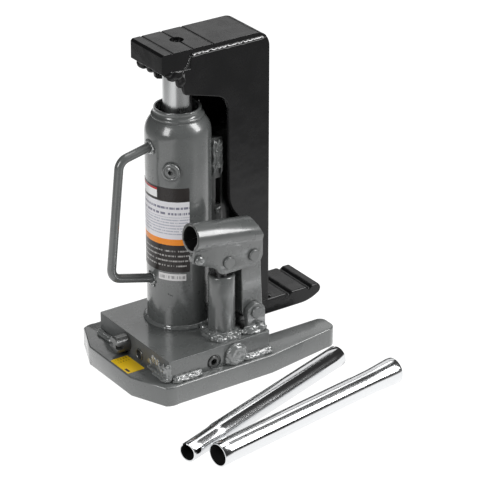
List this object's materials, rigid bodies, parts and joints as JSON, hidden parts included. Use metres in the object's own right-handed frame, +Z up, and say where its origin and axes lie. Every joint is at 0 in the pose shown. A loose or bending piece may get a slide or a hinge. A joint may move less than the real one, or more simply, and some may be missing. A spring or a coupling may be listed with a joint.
{
  "type": "hydraulic toe jack",
  "caption": "Hand-pumped hydraulic toe jack: a ram in a round reservoir raises a black claw with a top plate and a low toe; two-part handle beside it.",
  "frame": {"origin": "on the floor, on the axis of the ram (centre of the reservoir)", "axes": "+Z up along the ram; +X towards the side that carries the pump; +Y towards the lifting toe"},
  "size_m": [0.2207, 0.2072, 0.2587],
  "materials": {
    "grey_paint": "semi-gloss mid-grey enamel, sprayed over plate, forgings and weld beads",
    "black_paint": "thick gloss black enamel over welded plate",
    "hard_chrome": "ground and chromed, slightly satin",
    "zinc_plate": "bright zinc plate with fine drawing lines",
    "bare_steel": "machined steel",
    "seal_rubber": "black nitrile rubber",
    "printed_label": null,
    "yellow_sticker": null
  },
  "bodies": {
    "jack_base": {"base_plate": "grey_paint", "base_sticker": "yellow_sticker", "block_welds": "grey_paint", "carry_handle": "grey_paint", "carry_handle_welds": "grey_paint", "cylinder_gasket": "bare_steel", "delivery_ball": "bare_steel", "delivery_plug": "zinc_plate", "delivery_spring": "bare_steel", "guide_rail": "grey_paint", "guide_saddle": "grey_paint", "intake_plug": "zinc_plate", "link_lug_far": "grey_paint", "link_lug_near": "grey_paint", "link_pin": "grey_paint", "link_pin_clip": "zinc_plate", "lug_welds": "grey_paint", "plunger_seal": "seal_rubber", "pressure_cylinder": "bare_steel", "pump_block": "grey_paint", "pump_cylinder": "grey_paint", "pump_foot_weld": "grey_paint", "pump_gland_ring": "bare_steel", "ram_wiper": "seal_rubber", "rating_label": "printed_label", "relief_ball": "bare_steel", "relief_screw": "zinc_plate", "relief_spring": "bare_steel", "reservoir_tube": "grey_paint", "reservoir_weld": "grey_paint", "rod_seal": "seal_rubber", "serial_tag": "printed_label", "top_nut": "bare_steel"},
    "lift": {"ram": "hard_chrome", "piston": "bare_steel", "piston_cup_seal": "seal_rubber", "piston_nut": "bare_steel", "head_screw": "zinc_plate", "claw_head_plate": "black_paint", "claw_cheek_near": "black_paint", "claw_cheek_far": "black_paint", "claw_back_plate": "black_paint", "claw_guide_lips": "black_paint", "claw_toe": "black_paint", "claw_welds": "black_paint"},
    "link": {"pump_link": "grey_paint"},
    "socket": {"handle_socket": "grey_paint", "plunger_pin": "grey_paint", "socket_pin": "grey_paint", "socket_pin_clips": "zinc_plate", "socket_pin_washers": "zinc_plate", "socket_clamp_screw": "zinc_plate", "socket_clamp_nut": "zinc_plate"},
    "plunger": {"pump_plunger": "hard_chrome"},
    "release_valve": {"release_valve_spindle": "zinc_plate", "release_valve_oring": "seal_rubber", "release_valve_ball": "bare_steel"},
    "filler": {"filler_plug": "seal_rubber"},
    "upper_tube": {"handle_tube_upper": "zinc_plate"},
    "lower_tube": {"handle_tube_lower": "zinc_plate"}
  },
  "joints": [
    {"name": "ram_lift", "type": "slide", "parent": "jack_base", "child": "lift", "axis": [0, 0, 1], "range_m": [-0.0165, 0.088]},
    {"name": "link_swing", "type": "hinge", "parent": "jack_base", "child": "link", "pos_m": [0.042, 0.0346, 0.0477], "axis": [1, 0, 0], "range_deg": [-1.2, 5.8]},
    {"name": "handle_pump", "type": "hinge", "parent": "link", "child": "socket", "pos_m": [0.042, 0.033, 0.096], "axis": [-1, 0, 0], "range_deg": [-8, 45]},
    {"name": "plunger_slide", "type": "slide", "parent": "jack_base", "child": "plunger", "axis": [0, 0, 1], "range_m": [-0.0027, 0.0148]},
    {"name": "release_turn", "type": "hinge", "parent": "jack_base", "child": "release_valve", "pos_m": [0.001, -0.049, 0.025], "axis": [0, -1, 0], "range_deg": [0, 360]},
    {"name": "filler_pull", "type": "slide", "parent": "jack_base", "child": "filler", "axis": [0.7071, -0.7071, 0], "range_m": [0, 0.014]},
    {"name": "upper_tube_lift", "type": "slide", "parent": "jack_base", "child": "upper_tube", "axis": [0, 0, 1], "range_m": [0, 0.12]},
    {"name": "lower_tube_lift", "type": "slide", "parent": "jack_base", "child": "lower_tube", "axis": [0, 0, 1], "range_m": [0, 0.12]}
  ],
  "couplings": [
    {"joint": "link_swing", "follows": "handle_pump", "ratio": 0.125},
    {"joint": "plunger_slide", "follows": "handle_pump", "m_per_rad": 0.0186}
  ]
}
